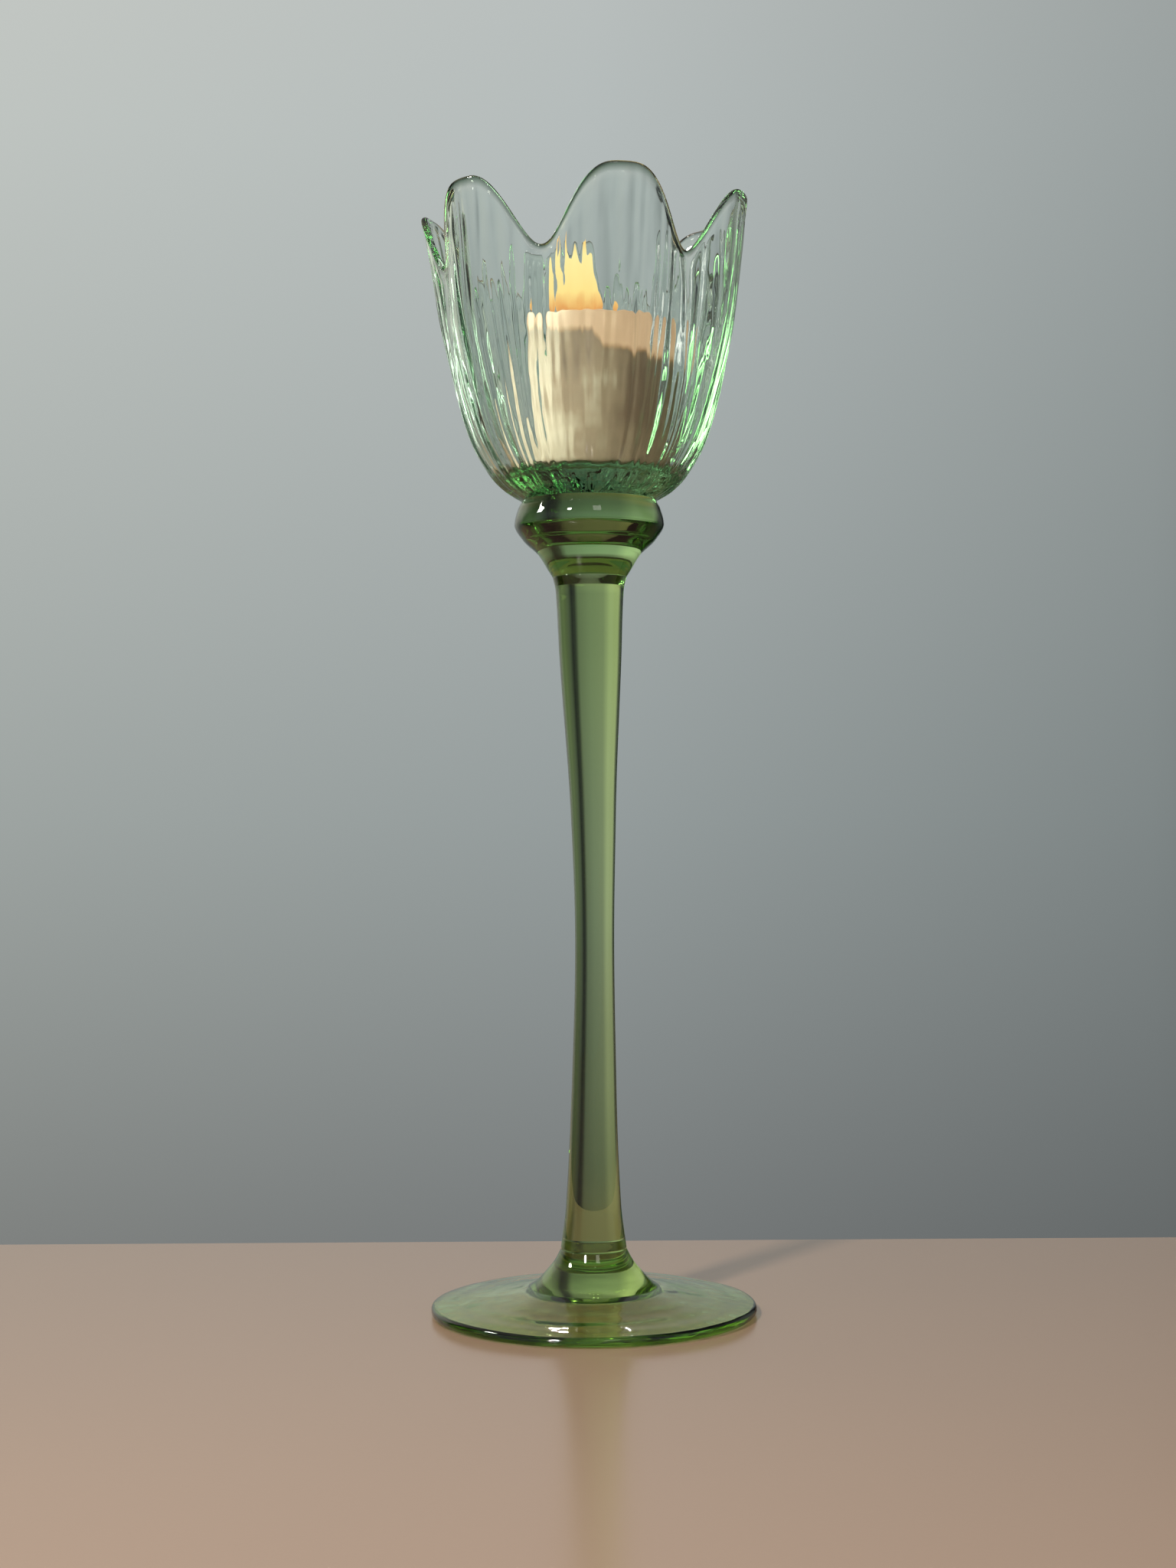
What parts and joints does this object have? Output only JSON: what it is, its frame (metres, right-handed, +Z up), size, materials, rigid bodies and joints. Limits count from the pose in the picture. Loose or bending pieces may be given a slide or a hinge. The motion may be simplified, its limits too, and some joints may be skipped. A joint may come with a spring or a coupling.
{
  "type": "candlestick",
  "caption": "Free-standing green glass candlestick with a disc foot, a slim waisted stem, a ball knop and a petalled tulip cup that holds a loose votive candle.",
  "frame": {"origin": "centre of the foot's flat underside", "axes": "+Z up along the stem, -Y towards the front petal's side, +X to the right seen from the front"},
  "size_m": [0.1049, 0.1045, 0.3501],
  "materials": {
    "green_glass": "fire-polished, clear mid green",
    "clear_green_glass": "ribbed and rippled, pale green with a darker melted rim",
    "wax": "cream wax, smooth satin",
    "wick": "burnt braided cotton",
    "tinned_steel": "dull tinned sheet"
  },
  "bodies": {
    "holder": {"foot": "green_glass", "stem": "green_glass", "knop": "green_glass", "tulip_cup": "clear_green_glass"},
    "candle": {"candle_wax": "wax", "wick": "wick", "wick_sustainer": "tinned_steel"}
  },
  "joints": [
    {"name": "candle_lift", "type": "slide", "parent": "holder", "child": "candle", "axis": [0, 0, 1], "range_m": [0, 0.1]}
  ]
}
